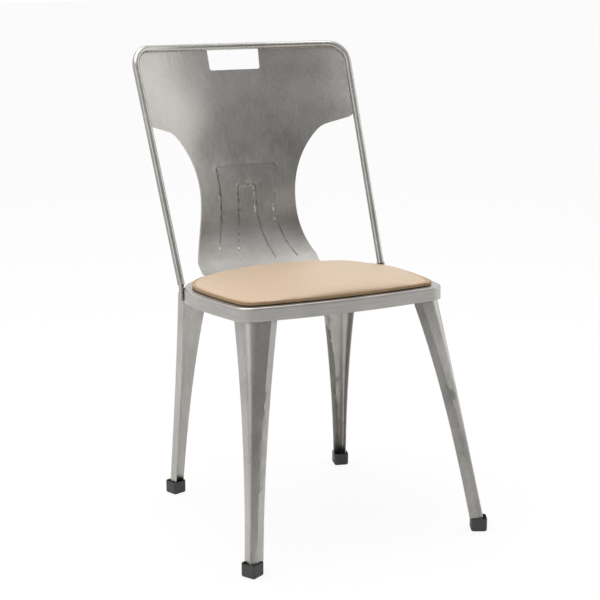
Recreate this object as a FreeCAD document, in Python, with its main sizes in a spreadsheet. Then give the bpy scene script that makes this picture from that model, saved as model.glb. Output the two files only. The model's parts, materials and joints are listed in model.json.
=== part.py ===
"""Metal bistro chair with a hooped back, a pressed back panel and a padded seat.

Millimetres, +Z up, the sitter faces -Y. The chair stands on four rubber feet at Z = 0.
Every plan size below is measured from the middle of the four feet. The whole chair is
then moved along Y by the centring value, so that the origin is the middle of its box.
"""
import FreeCAD, Part
import math
import os
import Sketcher

os.makedirs("parts", exist_ok=True)

doc = FreeCAD.newDocument("BistroChair")
V = FreeCAD.Vector

# Driving dimensions
DRIVING = {
    # Seat pan: a pressed tray with a straight front and a round back
    "seat_height": 437.5,
    "sheet": 1.5,
    "skirt_depth": 24.0,
    "pan_half_width": 218.2,
    "pan_front": 146.5,
    "pan_back": 190.0,
    "pan_widest": 45.6,
    "front_radius": 1172.0,
    "side_radius": 825.0,
    "corner_radius": 36.0,
    "back_radius": 837.0,
    "seat_tilt": 1.8,
    "pan_edge_radius": 3.5,
    # Seat pad
    "ledge": 12.0,
    "pad_corner_radius": 45.0,
    "pad_lift": 0.3,
    "cover_skin": 1.2,
    "hem_width": 18.0,
    "pad_crown": 22.5,
    "pad_side_drop": 12.0,
    "pad_shoulder": 6.0,
    "pad_tuck": 2.0,
    "board_thickness": 5.0,
    "board_inset": 1.3,
    "screw_x": 95.0,
    "screw_front": 70.0,
    "screw_back": 110.0,
    "screw_diameter": 5.0,
    "screw_head": 10.0,
    "screw_head_height": 3.2,
    "screw_socket": 3.0,
    "screw_clearance": 0.5,
    "washer_diameter": 15.0,
    "washer_thickness": 1.2,
    "tee_barrel": 7.6,
    "tee_flange": 17.0,
    "tee_flange_thickness": 1.0,
    "fit_gap": 0.2,
    # Hoop of round tube
    "tube_diameter": 13.0,
    "tube_wall": 1.5,
    "hoop_bearing": 26.0,
    "hoop_end_width": 17.0,
    "hoop_end_depth": 9.0,
    "hoop_end_flat": 28.0,
    "hoop_end_taper": 3.0,
    "hoop_corner_x": 223.2,
    "hoop_corner_y": 282.8,
    "hoop_height": 850.0,
    "hoop_corner_radius": 40.0,
    "bar_turn": 21.0,
    "bar_droop": 3.5,
    # Pressed back panel
    "panel_radius": 405.0,
    "weld_gap": 0.2,
    "waist_half": 99.8,
    "waist_height": 557.0,
    "waist_upper_radius": 180.0,
    "waist_lower_radius": 270.0,
    "panel_corner_height": 426.0,
    "tongue_half": 62.0,
    "wing_crest": 47.0,
    "wing_turn_radius": 45.0,
    "wing_slope": 18.0,
    "wing_corner_radius": 24.0,
    "panel_lip": 5.0,
    "notch_half_top": 55.0,
    "notch_half_foot": 53.0,
    "notch_foot": 797.0,
    "notch_corner": 5.0,
    "groove_depth": 1.8,
    "outer_arch_half": 57.0,
    "outer_arch_top": 617.0,
    "inner_arch_half": 18.2,
    "inner_arch_top": 580.0,
    "arch_foot": 441.0,
    # Pressed legs
    "leg_sheet": 1.5,
    "leg_flange": 14.5,
    "leg_flange_tilt": 20.0,
    "tab_reach": 9.0,
    "leg_sections": 4,
    # Rubber feet
    "foot_width": 29.0,
    "foot_height": 24.0,
    "foot_corner": 5.0,
    "foot_edge": 4.0,
    "foot_floor": 7.0,
    "foot_wall": 1.8,
    "front_foot_x": 226.7,
    "front_foot_y": 216.4,
    "front_foot_turn": 27.0,
    "rear_foot_x": 181.7,
    "rear_foot_y": 216.4,
    "rear_foot_turn": 17.0,
    "sweep_low_rise": 2.5,
    "sweep_low_back": 30.5,
    "sweep_mid_rise": 22.5,
    "sweep_mid_back": 50.0,
    "sweep_high_rise": 62.5,
    "sweep_high_back": 69.5,
    "panel_waist_radius": 600.0,
    "waist_crest": 35.0,
    "waist_back": 83.0,
    "wing_level": 700.0,
    "wing_lean": 15.4,
    "band_half": 240.0,
    "panel_sections": 15,
    "band_depth": 420.0,
    "flare_rise": 6.0,
    "panel_foot_rise": 2.0,
    "panel_low_radius": 900.0,
    "groove_width": 4.5,
    "outer_arch_crest": 545.0,
    "outer_arch_lower_radius": 212.0,
    "outer_arch_upper_radius": 370.0,
    "inner_arch_crest": 560.0,
    "inner_arch_lower_radius": 360.0,
    "inner_arch_upper_radius": 250.0,
    "arch_corner": 5.0,
    "front_ridge_x_foot": 236.5,
    "front_ridge_x_middle": 212.2,
    "front_ridge_x_top": 193.0,
    "front_ridge_y_foot": 226.5,
    "front_ridge_y_middle": 179.0,
    "front_ridge_y_top": 129.0,
    "front_main_foot": 14.0,
    "front_main_middle": 19.5,
    "front_main_top": 45.0,
    "front_main_tilt_foot": 0.0,
    "front_main_tilt_middle": 14.0,
    "front_main_tilt_top": 8.0,
    "front_side_foot": 18.0,
    "front_side_middle": 22.5,
    "front_side_top": 41.0,
    "front_side_tilt_foot": 5.0,
    "front_side_tilt_middle": 5.0,
    "front_side_tilt_top": 5.0,
    "front_ridge_radius_foot": 5.0,
    "front_ridge_radius_middle": 9.0,
    "front_ridge_radius_top": 28.0,
    "rear_ridge_x_foot": 195.0,
    "rear_ridge_x_middle": 188.0,
    "rear_ridge_x_top": 189.0,
    "rear_ridge_y_foot": 224.0,
    "rear_ridge_y_middle": 206.0,
    "rear_ridge_y_top": 191.0,
    "rear_main_foot": 15.0,
    "rear_main_middle": 26.0,
    "rear_main_top": 60.0,
    "rear_main_tilt_foot": -7.0,
    "rear_main_tilt_middle": 8.0,
    "rear_main_tilt_top": 2.0,
    "rear_side_foot": 21.0,
    "rear_side_middle": 24.0,
    "rear_side_top": 39.0,
    "rear_side_tilt_foot": -20.0,
    "rear_side_tilt_middle": -14.0,
    "rear_side_tilt_top": -3.0,
    "rear_ridge_radius_foot": 5.0,
    "rear_ridge_radius_middle": 8.0,
    "rear_ridge_radius_top": 24.0,
}

sizes = doc.addObject("Spreadsheet::Sheet", "Sizes")
for row, (alias, value) in enumerate(DRIVING.items(), start=1):
    sizes.set("A%d" % row, alias)
    sizes.set("B%d" % row, str(value))
    sizes.setAlias("B%d" % row, alias)
doc.recompute()


def size(alias):
    """Reads one driving dimension from the sheet."""
    return float(sizes.get(alias))


def polar(centre, radius, angle):
    """Point on a circle seen from above, the angle in radians from +X."""
    return V(centre.x + radius * math.cos(angle), centre.y + radius * math.sin(angle), 0)


def line(start, end):
    """Straight edge between two points."""
    return Part.LineSegment(start, end).toShape()


# Seat outline

def shoulder_radius():
    """Radius of the arcs that join each side arc to the back arc."""
    half = size("pan_half_width")
    depth = size("pan_back") - size("pan_widest")
    back = size("back_radius")
    return (2 * depth * back - depth ** 2 - half ** 2) / (2 * (back - half))


def seat_centres(corner_name="corner_radius"):
    """Centres of the front, corner, side, shoulder and back arcs on the right-hand side."""
    half = size("pan_half_width")
    widest = size("pan_widest")
    front = V(0, size("front_radius") - size("pan_front"), 0)
    side = V(half - size("side_radius"), widest, 0)
    shoulder = V(half - shoulder_radius(), widest, 0)
    back = V(0, size("pan_back") - size("back_radius"), 0)
    reach_front = size("front_radius") - size(corner_name)
    reach_side = size("side_radius") - size(corner_name)
    span = side - front
    gap = span.Length
    along = (reach_front ** 2 - reach_side ** 2 + gap ** 2) / (2 * gap)
    across = math.sqrt(reach_front ** 2 - along ** 2)
    step = span / gap
    corner = front + step * along + V(-step.y, step.x, 0) * across
    if corner.x < 0:
        corner = front + step * along - V(-step.y, step.x, 0) * across
    return front, corner, side, shoulder, back


def bearing(start, end):
    """Direction from one point to another, in radians from +X."""
    return math.atan2(end.y - start.y, end.x - start.x)


def seat_arcs(inset, corner_name="corner_radius"):
    """The eight arcs of the seat outline, drawn in by inset, from the front anticlockwise."""
    front, corner, side, shoulder, back = seat_centres(corner_name)
    at_front = bearing(front, corner)
    at_side = bearing(side, corner)
    at_back = bearing(back, shoulder)
    right = [
        (corner, size(corner_name), at_front, at_side),
        (side, size("side_radius"), at_side, 0.0),
        (shoulder, shoulder_radius(), 0.0, at_back),
    ]
    spans = [(front, size("front_radius"), -math.pi - at_front, at_front)] + right
    spans.append((back, size("back_radius"), at_back, math.pi - at_back))
    for centre, radius, first, last in reversed(right):
        spans.append((V(-centre.x, centre.y, 0), radius, math.pi - last, math.pi - first))
    return [Part.ArcOfCircle(Part.Circle(centre, V(0, 0, 1), radius - inset), first, last)
            for centre, radius, first, last in spans]


def seat_face(inset, level, corner_name="corner_radius"):
    """Flat face within the seat outline, drawn in by inset, at a height."""
    face = Part.Face(Part.Wire([arc.toShape() for arc in seat_arcs(inset, corner_name)]))
    face.translate(V(0, 0, level))
    return face


def tilt_seat(shape):
    """The same shape leaned back with the seat, about the pan's front top edge."""
    leaned = shape.copy()
    leaned.rotate(V(0, -size("pan_front"), size("seat_height")), V(1, 0, 0), -size("seat_tilt"))
    return leaned


def tilted(point):
    """A point of the level seat, leaned back with it."""
    return tilt_seat(Part.Vertex(point)).Point


def base_plane(body, role):
    """One of the body's own origin planes."""
    for feature in body.Origin.OriginFeatures:
        if feature.Role == role:
            return feature
    raise ValueError(role)


def level_sketch(body, name, level):
    """Empty sketch on the body's ground plane, raised to a height given as an expression."""
    sketch = body.newObject("Sketcher::SketchObject", name)
    sketch.AttachmentSupport = [(base_plane(body, "XY_Plane"), "")]
    sketch.MapMode = "FlatFace"
    sketch.setExpression("AttachmentOffset.Base.z", level)
    return sketch


def bind(sketch, constraint, name, expression):
    """Adds a named size to a sketch and ties it to the sheet."""
    index = sketch.addConstraint(constraint)
    sketch.renameConstraint(index, name)
    sketch.setExpression("Constraints." + name, expression)


def seat_sketch(body, name, level, inset_names, corner_name="corner_radius"):
    """Seat outline as eight tangent arcs, drawn in by the sum of the named insets."""
    sketch = level_sketch(body, name, level)
    inset = sum(size(alias) for alias in inset_names)
    drawn_in = "".join(" - Sizes." + alias for alias in inset_names)
    arcs = seat_arcs(inset, corner_name)
    for arc in arcs:
        sketch.addGeometry(arc, False)
    for index in range(len(arcs)):
        following = (index + 1) % len(arcs)
        sketch.addConstraint(Sketcher.Constraint("Tangent", index, 2, following, 1))
    shoulder_size = ("(2 * (Sizes.pan_back - Sizes.pan_widest) * Sizes.back_radius"
                     " - (Sizes.pan_back - Sizes.pan_widest)^2 - Sizes.pan_half_width^2)"
                     " / (2 * (Sizes.back_radius - Sizes.pan_half_width))")
    corner_size = "Sizes." + corner_name
    radii = ["Sizes.front_radius", corner_size, "Sizes.side_radius", shoulder_size,
             "Sizes.back_radius", shoulder_size, "Sizes.side_radius", corner_size]
    for index, radius in enumerate(radii):
        value = arcs[index].Radius
        bind(sketch, Sketcher.Constraint("Radius", index, value), "radius_%d" % index, radius + drawn_in)
    front, corner, side, shoulder, rear = seat_centres()
    sketch.addConstraint(Sketcher.Constraint("PointOnObject", 0, 3, -2))
    bind(sketch, Sketcher.Constraint("DistanceY", -1, 1, 0, 3, front.y), "front_centre",
         "Sizes.front_radius - Sizes.pan_front")
    for index, label in ((2, "right"), (6, "left")):
        ends = (2, 3, -1, 1) if label == "right" else (-1, 1, 6, 3)
        bind(sketch, Sketcher.Constraint("DistanceX", *ends, -side.x), label + "_side_centre",
             "Sizes.side_radius - Sizes.pan_half_width")
        bind(sketch, Sketcher.Constraint("DistanceY", -1, 1, index, 3, side.y), label + "_side_level",
             "Sizes.pan_widest")
    for index, label in ((3, "right"), (5, "left")):
        bind(sketch, Sketcher.Constraint("DistanceY", -1, 1, index, 3, side.y), label + "_shoulder_level",
             "Sizes.pan_widest")
    return sketch


SCREW_PLACES = [(side, row) for side in (-1, 1) for row in ("front", "back")]


def screw_points():
    """Places of the four pad screws, seen from above."""
    rows = {"front": -size("screw_front"), "back": size("screw_back")}
    return [V(side * size("screw_x"), rows[row], 0) for side, row in SCREW_PLACES]


def hole_sketch(body, name, level, radius):
    """Four circles at the pad screws, their radius given as an expression."""
    sketch = level_sketch(body, name, level)
    for index, (point, (side, row)) in enumerate(zip(screw_points(), SCREW_PLACES)):
        sketch.addGeometry(Part.Circle(point, V(0, 0, 1), 3.0), False)
        across = (-1, 1, index, 3) if side > 0 else (index, 3, -1, 1)
        along = (-1, 1, index, 3) if row == "back" else (index, 3, -1, 1)
        bind(sketch, Sketcher.Constraint("DistanceX", *across, abs(point.x)), "across_%d" % index, "Sizes.screw_x")
        bind(sketch, Sketcher.Constraint("DistanceY", *along, abs(point.y)), "along_%d" % index,
             "Sizes.screw_" + row)
        bind(sketch, Sketcher.Constraint("Radius", index, 3.0), "bore_%d" % index, radius)
    return sketch


def pad_up(body, name, sketch, length):
    """Pads a sketch upwards by a length given as an expression."""
    pad = body.newObject("PartDesign::Pad", name)
    pad.Profile = sketch
    pad.setExpression("Length", length)
    return pad


def drill_down(body, name, sketch):
    """Cuts a sketch down through the whole body."""
    pocket = body.newObject("PartDesign::Pocket", name)
    pocket.Profile = sketch
    pocket.Type = "ThroughAll"
    return pocket


def edges_at(shape, level, tolerance=0.01):
    """Names of the edges that lie flat at a height."""
    return ["Edge%d" % (index + 1) for index, edge in enumerate(shape.Edges)
            if abs(edge.BoundBox.ZMin - level) < tolerance and abs(edge.BoundBox.ZMax - level) < tolerance]


def upright_edges(shape, height):
    """Names of the straight edges that stand the full height."""
    return ["Edge%d" % (index + 1) for index, edge in enumerate(shape.Edges)
            if abs(edge.BoundBox.ZLength - height) < 0.01 and edge.BoundBox.XLength < 0.01]


def round_edges(body, name, base, edge_names, radius):
    """Rounds named edges of the last feature by a radius given as an expression."""
    fillet = body.newObject("PartDesign::Fillet", name)
    fillet.Base = (base, edge_names)
    fillet.setExpression("Radius", radius)
    return fillet


def new_body(label):
    """Empty body with its node's label."""
    body = doc.addObject("PartDesign::Body", label)
    body.Label = label
    return body


def build_seat_pan():
    """Tray with a rolled top edge, a skirt all round and four screw holes."""
    body = new_body("seat_pan")
    skirt_foot = "Sizes.seat_height - Sizes.skirt_depth"
    outline = seat_sketch(body, "PanOutline", skirt_foot, [])
    block = pad_up(body, "PanBlock", outline, "Sizes.skirt_depth")
    doc.recompute()
    rim = edges_at(block.Shape, size("seat_height"))
    rolled = round_edges(body, "PanRolledEdge", block, rim, "Sizes.pan_edge_radius")
    inside = seat_sketch(body, "PanInside", skirt_foot, ["sheet"])
    hollow = body.newObject("PartDesign::Pocket", "PanHollow")
    hollow.Profile = inside
    hollow.Reversed = True
    hollow.setExpression("Length", "Sizes.skirt_depth - Sizes.sheet")
    doc.recompute()
    inner_rim = edges_at(hollow.Shape, size("seat_height") - size("sheet"))
    round_edges(body, "PanInnerBend", hollow, inner_rim, "Sizes.pan_edge_radius - Sizes.sheet")
    holes = hole_sketch(body, "PanHoles", "Sizes.seat_height", "Sizes.screw_diameter / 2 + Sizes.screw_clearance")
    drill_down(body, "PanDrilled", holes)
    return body


def board_foot():
    """Height of the underside of the pad's board."""
    return size("seat_height") + size("pad_lift") + size("cover_skin")


def build_pad_board():
    """Plywood board of the seat pad with four holes for the tee nuts."""
    body = new_body("pad_board")
    foot = "Sizes.seat_height + Sizes.pad_lift + Sizes.cover_skin"
    outline = seat_sketch(body, "BoardOutline", foot, ["ledge", "cover_skin", "fit_gap", "board_inset"],
                          "pad_corner_radius")
    pad_up(body, "BoardBlank", outline, "Sizes.board_thickness")
    holes = hole_sketch(body, "BoardHoles", foot + " + Sizes.board_thickness",
                        "Sizes.tee_barrel / 2 + Sizes.fit_gap / 2")
    drill_down(body, "BoardDrilled", holes)
    return body


def feature(label, shape):
    """Part feature for a form that neither sketches nor primitives give."""
    item = doc.addObject("Part::Feature", label)
    item.Label = label
    item.Shape = shape
    return item


def domed_block(inset, foot, crown, shoulder, tuck):
    """Seat-shaped block with a domed top, a rounded shoulder and a rounded foot."""
    block = seat_face(inset, foot, "pad_corner_radius").extrude(V(0, 0, crown - foot + size("pad_shoulder")))
    middle = (size("pan_back") - size("pan_front")) / 2
    half = size("pan_half_width") - size("ledge")
    radius = (half ** 2 + size("pad_side_drop") ** 2) / (2 * size("pad_side_drop"))
    dome = Part.makeSphere(radius, V(0, middle, crown - radius))
    form = block.common(dome)
    upper = [edge for edge in form.Edges if edge.BoundBox.ZMin > foot + shoulder / 2 and edge.Length > 20]
    form = form.makeFillet(shoulder, upper)
    if tuck > 0:
        lower = [edge for edge in form.Edges if edge.BoundBox.ZMax < foot + 0.01]
        form = form.makeFillet(tuck, lower)
    return form


def build_pad_cover():
    """Vinyl cover: a crowned skin that turns in under the board as a hem."""
    foot = size("seat_height") + size("pad_lift")
    crown = size("seat_height") + size("pad_crown")
    skin = size("cover_skin")
    outside = domed_block(size("ledge"), foot, crown, size("pad_shoulder"), size("pad_tuck"))
    inside = domed_block(size("ledge") + skin, foot + skin, crown - skin, size("pad_shoulder") - skin, 0)
    opening = seat_face(size("ledge") + size("hem_width"), foot - skin, "pad_corner_radius").extrude(V(0, 0, 3 * skin))
    return feature("pad_cover", outside.cut(inside).cut(opening))


def build_pad_foam():
    """Foam block between the board and the cover, hollowed over the tee nuts."""
    inset = size("ledge") + size("cover_skin") + size("fit_gap")
    foot = board_foot() + size("board_thickness") + size("fit_gap")
    crown = size("seat_height") + size("pad_crown") - size("cover_skin") - size("fit_gap")
    form = domed_block(inset, board_foot(), crown, size("pad_shoulder") - size("cover_skin") - size("fit_gap"), 0)
    form = form.cut(seat_face(0, board_foot() - 1).extrude(V(0, 0, foot - board_foot() + 1)))
    for point in screw_points():
        relief = Part.makeCylinder(size("tee_flange") / 2 + size("fit_gap"), size("tee_flange_thickness") + 0.001,
                                   point + V(0, 0, foot - 0.001))
        form = form.cut(relief)
    return feature("pad_foam", form)


def build_screws():
    """Four pan-head screws driven up through the pan into the tee nuts."""
    under_pan = size("seat_height") - size("sheet")
    under_washer = under_pan - size("washer_thickness")
    tip = board_foot() + size("board_thickness")
    radius = size("screw_diameter") / 2
    screws = []
    washers = []
    nuts = []
    for point in screw_points():
        shank = Part.makeCylinder(radius, tip - under_washer, point + V(0, 0, under_washer))
        head_foot = under_washer - size("screw_head_height")
        head = Part.makeCylinder(size("screw_head") / 2, size("screw_head_height"), point + V(0, 0, head_foot))
        head = head.makeFillet(size("screw_head_height") * 0.4,
                               [edge for edge in head.Edges if edge.BoundBox.ZMax < head_foot + 0.01])
        socket_face = Part.Face(Part.makePolygon([
            polar(point, size("screw_socket") / math.sqrt(3), math.radians(60 * corner)) for corner in range(7)]))
        socket_face.translate(V(0, 0, head_foot))
        socket = socket_face.extrude(V(0, 0, size("screw_head_height") * 0.6))
        screws.append(shank.fuse(head).removeSplitter().cut(socket))
        disc = Part.makeCylinder(size("washer_diameter") / 2, size("washer_thickness"), point + V(0, 0, under_washer))
        hole = Part.makeCylinder(radius + size("fit_gap"), size("washer_thickness"), point + V(0, 0, under_washer))
        washers.append(disc.cut(hole))
        barrel = Part.makeCylinder(size("tee_barrel") / 2, size("board_thickness"), point + V(0, 0, board_foot()))
        flange = Part.makeCylinder(size("tee_flange") / 2, size("tee_flange_thickness"), point + V(0, 0, tip))
        bore = Part.makeCylinder(radius + size("fit_gap") / 4, size("board_thickness") + size("tee_flange_thickness"),
                                 point + V(0, 0, board_foot()))
        nuts.append(barrel.fuse(flange).removeSplitter().cut(bore))
    return [feature("pad_screws", Part.makeCompound(screws)), feature("pad_washers", Part.makeCompound(washers)),
            feature("tee_nuts", Part.makeCompound(nuts))]


# Hoop

def hoop_seat():
    """Middle of the flattened tube end, its radial direction and its tangent direction."""
    shoulder = seat_centres()[3]
    angle = math.radians(size("hoop_bearing"))
    outward = V(math.cos(angle), math.sin(angle), 0)
    stand_off = shoulder_radius() + size("weld_gap") + size("hoop_end_depth") / 2
    return shoulder + outward * stand_off, outward, V(-outward.y, outward.x, 0)


def bend(before, corner, after, radius):
    """Arc of a radius in the corner between two straight runs."""
    back_way = (before - corner).normalize()
    fore_way = (after - corner).normalize()
    angle = back_way.getAngle(fore_way)
    reach = radius / math.tan(angle / 2)
    middle_way = (back_way + fore_way).normalize()
    start = corner + back_way * reach
    end = corner + fore_way * reach
    middle = corner + middle_way * (radius / math.sin(angle / 2) - radius)
    return start, middle, end


def hoop_points():
    """Foot and top corner of the right-hand side's centre line, and the way the bar leaves it."""
    seat, outward, tangent = hoop_seat()
    knee = tilted(V(seat.x, seat.y, size("seat_height") - size("skirt_depth") + size("hoop_end_flat")))
    corner = V(size("hoop_corner_x"), size("hoop_corner_y"), size("hoop_height") - size("tube_diameter") / 2)
    turn = math.radians(size("bar_turn"))
    droop = math.radians(size("bar_droop"))
    bar_way = V(-math.cos(turn), math.sin(turn) * math.cos(droop), -math.sin(turn) * math.sin(droop))
    return knee, corner, bar_way


def hoop_path():
    """Centre line of the round tube, from the right-hand end over the bar to the left."""
    knee, corner, bar_way = hoop_points()
    corner_arc = bend(knee, corner, corner + bar_way * 100, size("hoop_corner_radius"))
    bar_start = corner_arc[2]
    turn = math.radians(size("bar_turn"))
    sagitta = bar_start.x * math.tan(turn / 2)
    bow_way = V(0, bar_way.y, bar_way.z).normalize()
    bar_middle = V(0, bar_start.y, bar_start.z) + bow_way * sagitta

    def flip(point):
        return V(-point.x, point.y, point.z)

    right = [line(knee, corner_arc[0]), Part.Arc(*corner_arc).toShape()]
    bar = Part.Arc(bar_start, bar_middle, flip(bar_start)).toShape()
    left = [Part.Arc(*[flip(point) for point in reversed(corner_arc)]).toShape(),
            line(flip(corner_arc[0]), flip(knee))]
    return Part.Wire(right + [bar] + left), bar_middle


def tube_along(path, radius):
    """Solid round bar along the hoop's centre line."""
    start = path.Edges[0].valueAt(path.Edges[0].FirstParameter)
    way = path.Edges[0].tangentAt(path.Edges[0].FirstParameter)
    ring = Part.Wire(Part.makeCircle(radius, start, way))
    return path.makePipeShell([ring], True, False)


def oval(centre, across, outward, half_straight, end_radius):
    """Closed section of two half rounds and two straights, lying across and outward."""
    points = []
    for side in (1, -1):
        hub = centre + across * (side * half_straight)
        points.append((hub + outward * (side * end_radius), hub + across * (side * end_radius),
                       hub - outward * (side * end_radius)))
    return Part.Wire([Part.Arc(*points[0]).toShape(), line(points[0][2], points[1][0]),
                      Part.Arc(*points[1]).toShape(), line(points[1][2], points[0][0])])


def flattened_end(grow):
    """Right-hand end of the hoop, pressed flat against the skirt."""
    seat, outward, tangent = hoop_seat()
    foot = V(seat.x, seat.y, size("seat_height") - size("skirt_depth"))
    half_depth = size("hoop_end_depth") / 2 + grow
    straight = size("hoop_end_width") / 2 + grow - half_depth
    flat = Part.Face(oval(foot, tangent, outward, straight, half_depth))
    return tilt_seat(flat.extrude(V(0, 0, size("hoop_end_flat") + size("hoop_end_taper"))))


def hoop_solid(grow):
    """Whole outer form of the hoop, grown all round by a gap."""
    path, middle = hoop_path()
    form = tube_along(path, size("tube_diameter") / 2 + grow)
    right = flattened_end(grow)
    left = right.mirror(V(0, 0, 0), V(1, 0, 0))
    return form.fuse([right, left])


def build_hoop():
    """One bent tube: two leaning sides, rounded corners and a bowed top bar."""
    path, middle = hoop_path()
    bore = tube_along(path, size("tube_diameter") / 2 - size("tube_wall"))
    return feature("back_hoop", hoop_solid(0).cut(bore))


# Back panel

def hoop_side_at(level):
    """Point of the hoop's leaning side at a height."""
    knee, corner, bar_way = hoop_points()
    share = (level - knee.z) / (corner.z - knee.z)
    return knee + (corner - knee) * share


def panel_foot():
    """Middle of the panel's bottom edge, against the skirt behind the seat."""
    foot = tilted(V(0, size("pan_back"), size("seat_height") - size("skirt_depth") + size("panel_foot_rise")))
    return foot + V(0, size("weld_gap"), 0)


def panel_keys():
    """Height, setback of the middle line and plan bow at the key heights of the panel."""
    seat = size("seat_height")
    back = size("pan_back")
    path, bar_middle = hoop_path()
    foot = panel_foot()
    keys = [(foot.z, foot.y, 1 / (size("back_radius") + size("weld_gap")))]
    for name, radius in (("low", "panel_low_radius"), ("mid", "panel_low_radius"), ("high", "panel_waist_radius")):
        keys.append((seat + size("sweep_%s_rise" % name), back + size("sweep_%s_back" % name), 1 / size(radius)))
    keys.append((size("waist_height") + size("waist_crest"), back + size("waist_back"), 1 / size("panel_radius")))
    top = bar_middle.z + size("tube_diameter")
    for share in (0.0, 0.5, 1.0):
        level = size("wing_level") + (top - size("wing_level")) * share
        middle = bar_middle.y - (bar_middle.z - level) * math.tan(math.radians(size("wing_lean")))
        side = hoop_side_at(level)
        bow = middle - side.y
        keys.append((level, middle, 2 * bow / (side.x ** 2 + bow ** 2)))
    return keys


def blend(keys, column, level):
    """Smooth curve through one column of the key rows, read at a height."""
    heights = [key[0] for key in keys]
    values = [key[column] for key in keys]
    slopes = []
    for index in range(len(keys)):
        low = max(index - 1, 0)
        high = min(index + 1, len(keys) - 1)
        slopes.append((values[high] - values[low]) / (heights[high] - heights[low]))
    index = max(i for i in range(len(keys) - 1) if heights[i] <= level or i == 0)
    step = heights[index + 1] - heights[index]
    share = (level - heights[index]) / step
    return (values[index] * (1 + 2 * share) * (1 - share) ** 2 + slopes[index] * step * share * (1 - share) ** 2
            + values[index + 1] * share ** 2 * (3 - 2 * share) + slopes[index + 1] * step * share ** 2 * (share - 1))


def panel_levels():
    """Height, setback of the middle line and plan radius of each evenly spaced section."""
    keys = panel_keys()
    first = keys[0][0]
    span = keys[-1][0] - first
    count = int(size("panel_sections"))
    rows = []
    for index in range(count):
        level = first + span * index / (count - 1)
        rows.append((level, blend(keys, 1, level), 1 / blend(keys, 2, level)))
    return rows


def panel_band(near, far):
    """Wide bowed band between two depths behind the panel's front face."""
    levels = panel_levels()
    wires = []
    for index, (level, middle, radius) in enumerate(levels):
        before = levels[max(index - 1, 0)]
        after = levels[min(index + 1, len(levels) - 1)]
        slope = (after[1] - before[1]) / (after[0] - before[0])
        stretch = math.sqrt(1 + slope ** 2)
        half = size("band_half")
        ends = []
        for depth in (near, far):
            reach = radius + depth * stretch
            hub = V(0, middle - radius, level)
            turn = math.asin(half / reach)
            ends.append([hub + V(reach * math.sin(a), reach * math.cos(a), 0) for a in (-turn, 0, turn)])
        front = Part.Arc(*ends[0]).toShape()
        rear = Part.Arc(*reversed(ends[1])).toShape()
        wires.append(Part.Wire([front, Part.LineSegment(ends[0][2], ends[1][2]).toShape(), rear,
                                Part.LineSegment(ends[1][0], ends[0][0]).toShape()]))
    return Part.makeLoft(wires, True, False)


def elevation_prism(right_edges):
    """Prism along Y of an outline in front view, given by the edges of its right-hand half."""
    wires = []
    for edges in (right_edges, [edge.mirror(V(0, 0, 0), V(1, 0, 0)) for edge in right_edges]):
        wires.extend(edges)
    wire = Part.Wire(Part.__sortEdges__(wires))
    face = Part.Face(wire)
    return face.extrude(V(0, size("band_depth"), 0))


def arc_through(centre, radius, first, last):
    """Arc in front view about a centre, its ends given as angles in degrees from +X towards +Z."""
    angles = (first, (first + last) / 2, last)
    points = [centre + V(radius * math.cos(math.radians(a)), 0, radius * math.sin(math.radians(a))) for a in angles]
    return Part.Arc(*points).toShape(), points[0], points[2]


def meet(point, way, foot, head):
    """Crossing of a line through a point with the line from foot to head, in front view."""
    run = head - foot
    share = ((foot.x - point.x) * run.z - (foot.z - point.z) * run.x) / (way.x * run.z - way.z * run.x)
    return point + way * share


def panel_outline(inset):
    """Right-hand edges of the panel in front view, drawn in by inset along its free edges."""
    foot = V(0, 0, panel_foot().z)
    waist_low = V(size("waist_half") + size("waist_lower_radius"), 0, size("waist_height"))
    waist_up = V(size("waist_half") + size("waist_upper_radius"), 0, size("waist_height"))
    lower_radius = size("waist_lower_radius") + inset
    upper_radius = size("waist_upper_radius") + inset
    flare = size("seat_height") + size("flare_rise")
    low_angle = 180 + math.degrees(math.asin((waist_low.z - flare) / lower_radius))
    lower, lower_start, lower_end = arc_through(waist_low, lower_radius, low_angle, 180)
    crest_angle = 90 + size("wing_crest")
    slope_angle = 90 + size("wing_slope")
    upper, upper_start, upper_end = arc_through(waist_up, upper_radius, 180, crest_angle)
    crest_way = V(math.cos(math.radians(crest_angle)), 0, math.sin(math.radians(crest_angle)))
    turn_hub = waist_up + crest_way * (size("waist_upper_radius") - size("wing_turn_radius"))
    turn, turn_start, turn_end = arc_through(turn_hub, size("wing_turn_radius") + inset, crest_angle, slope_angle)
    corner = V(lower_start.x, 0, size("panel_corner_height"))
    tongue = V(size("tongue_half"), 0, foot.z)
    knee, hoop_corner, bar_way = hoop_points()
    wing_way = V(math.cos(math.radians(size("wing_slope"))), 0, math.sin(math.radians(size("wing_slope"))))
    wing_tip = meet(turn_end, wing_way, V(knee.x, 0, knee.z), V(hoop_corner.x, 0, hoop_corner.z))
    wing_corner = bend(turn_end, wing_tip, V(hoop_corner.x, 0, hoop_corner.z), size("wing_corner_radius") - inset)
    corner_arc = bend(knee, hoop_corner, hoop_corner + bar_way * 100, size("hoop_corner_radius"))
    path, bar_middle = hoop_path()
    flat = [V(point.x, 0, point.z) for point in corner_arc + (bar_middle,)]
    return [line(foot, tongue), line(tongue, corner), line(corner, lower_start), lower, upper, turn,
            line(turn_end, wing_corner[0]), Part.Arc(*wing_corner).toShape(), line(wing_corner[2], flat[0]),
            line(flat[0], flat[1]), line(flat[1], flat[2]), line(flat[2], flat[3])]


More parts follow.
